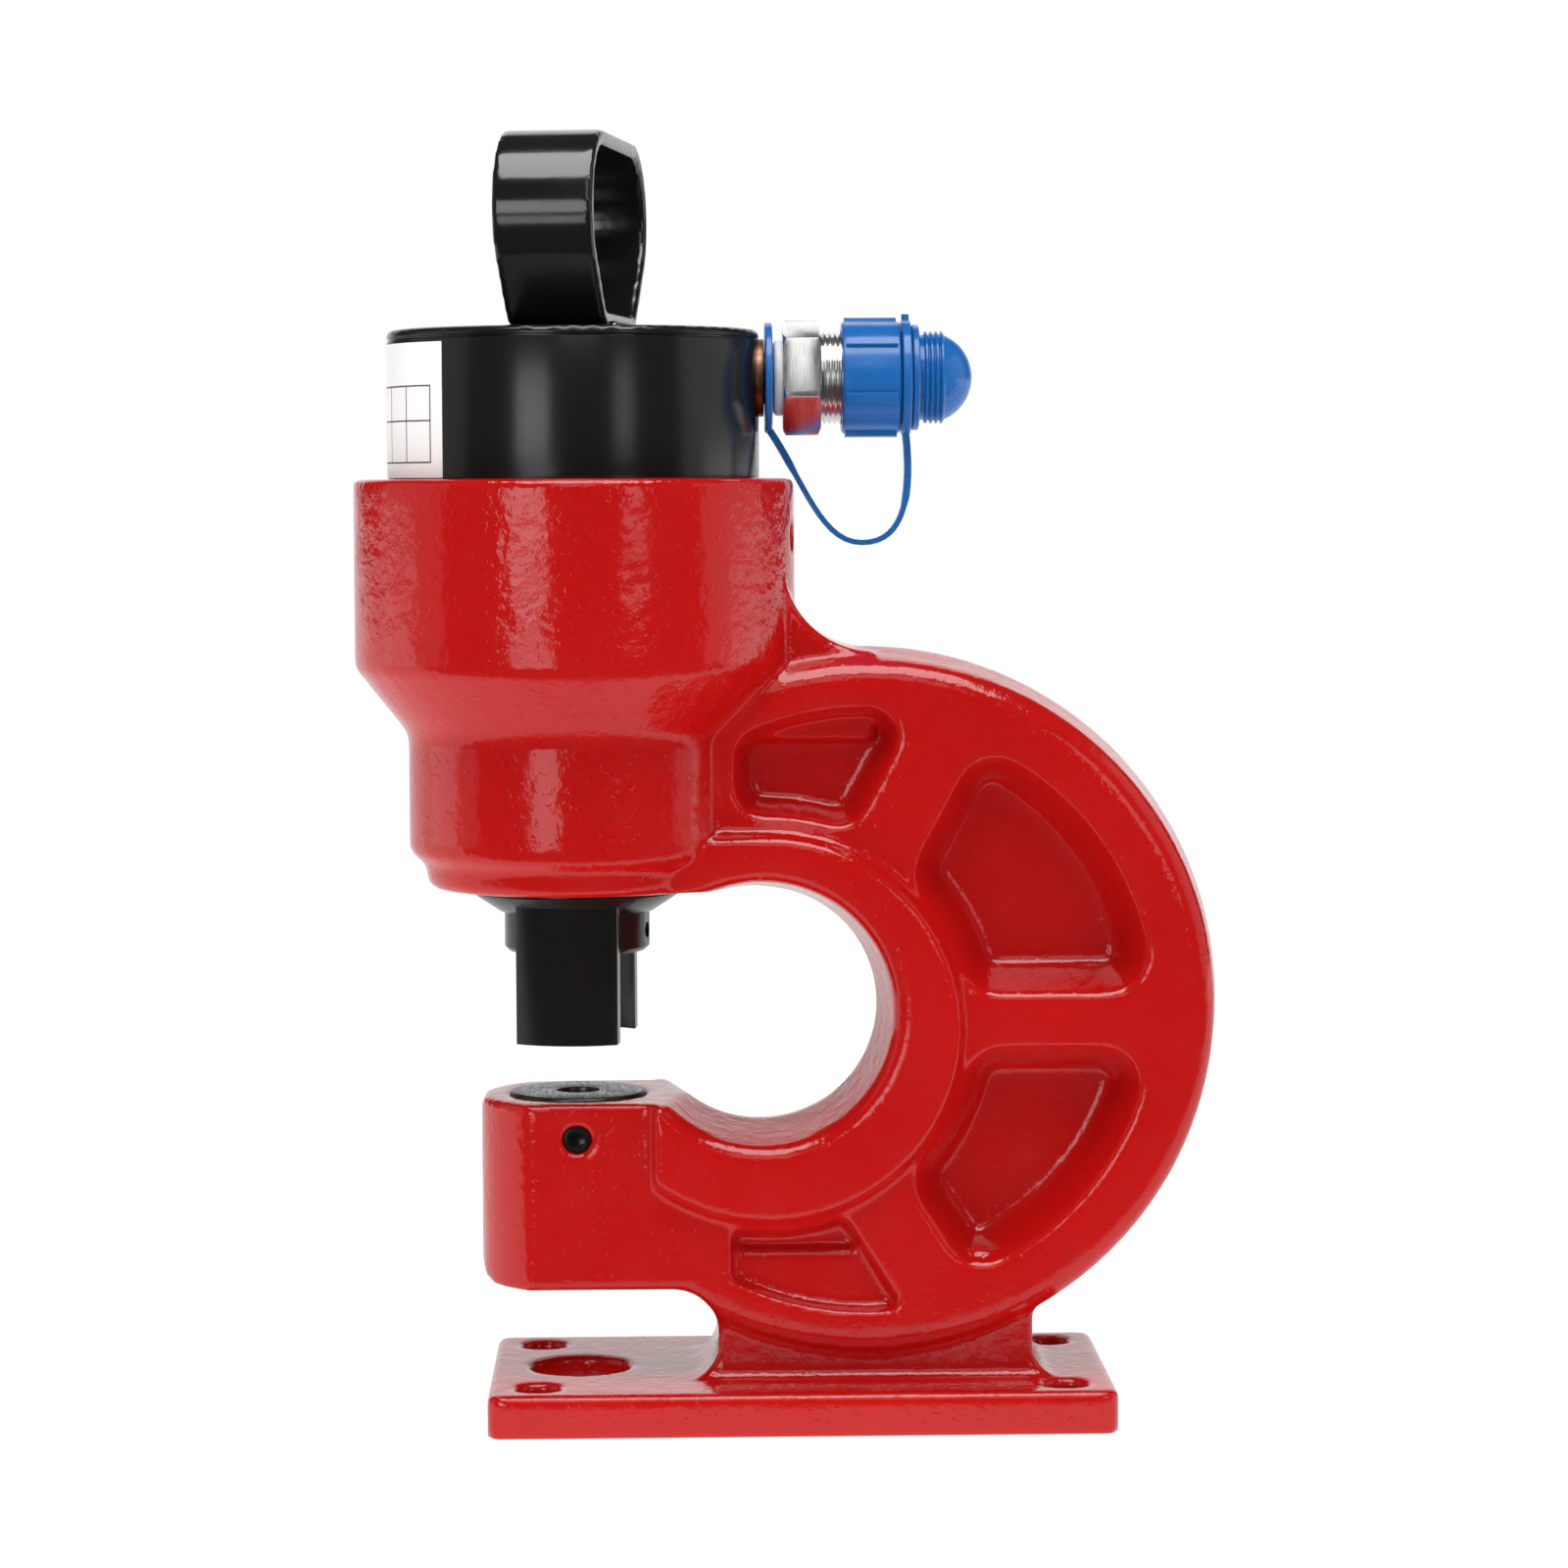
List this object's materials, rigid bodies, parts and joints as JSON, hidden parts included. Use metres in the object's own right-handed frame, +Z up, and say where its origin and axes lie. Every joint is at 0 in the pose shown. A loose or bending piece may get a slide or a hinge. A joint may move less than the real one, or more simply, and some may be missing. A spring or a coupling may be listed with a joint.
{
  "type": "hydraulic hole punch",
  "caption": "Portable hydraulic hole punch: red cast C-frame with base plate, black cylinder cap with carrying handle, punch, die, stripper and oil coupler with blue dust cap.",
  "frame": {"origin": "centre of the slug hole on the base's underside, on the punch axis", "axes": "+Z up along the punch axis, +X from the punch towards the back of the C, +Y away from the side seen in the front view"},
  "size_m": [0.273, 0.139, 0.4035],
  "materials": {
    "red_paint": "gloss",
    "black_cap": "satin",
    "black_oxide": "satin",
    "tool_steel": "satin",
    "black_gloss": "gloss",
    "zinc": "satin",
    "spring_steel": "satin",
    "steel": "satin",
    "bronze": "satin",
    "copper": "satin",
    "black_rubber": "matt",
    "seal_green": "matt",
    "guide_tan": "matt",
    "ptfe_white": "matt",
    "blue_plastic": "gloss"
  },
  "bodies": {
    "frame": {"frame_casting": "red_paint", "cylinder_cap": "black_cap", "cap_seal": "black_rubber", "cap_lock_screw": "black_oxide", "rod_guide": "bronze", "rod_wiper": "black_rubber", "stripper": "black_oxide", "die": "tool_steel", "die_screw": "black_oxide", "handle": "black_gloss", "handle_welds": "black_gloss", "port_washer": "copper", "thread_tape": "ptfe_white", "coupler_body": "zinc", "poppet_spring": "spring_steel", "strap": "blue_plastic", "return_spring": "spring_steel"},
    "ram": {"piston": "steel", "piston_seal": "seal_green", "piston_guide_ring": "guide_tan", "ram": "steel", "piston_nut": "steel", "punch_nut": "black_oxide", "punch": "tool_steel"},
    "poppet": {"coupler_poppet": "zinc"},
    "dust_cap": {"dust_cap": "blue_plastic", "dust_cap_liner": "black_rubber"}
  },
  "joints": [
    {"name": "ram_stroke", "type": "slide", "parent": "frame", "child": "ram", "axis": [0, 0, -1], "range_m": [0, 0.025], "stiffness_N_per_m": 8000, "springref_m": -0.02, "deforming": ["return_spring"]},
    {"name": "poppet_push", "type": "slide", "parent": "frame", "child": "poppet", "axis": [-1, 0, 0], "range_m": [0, 0.004], "stiffness_N_per_m": 2000, "springref_m": -0.002, "deforming": ["poppet_spring"]},
    {"name": "dust_cap_turn", "type": "hinge", "parent": "frame", "child": "dust_cap", "pos_m": [0.09, 0, 0.328], "axis": [1, 0, 0], "continuous": true}
  ]
}
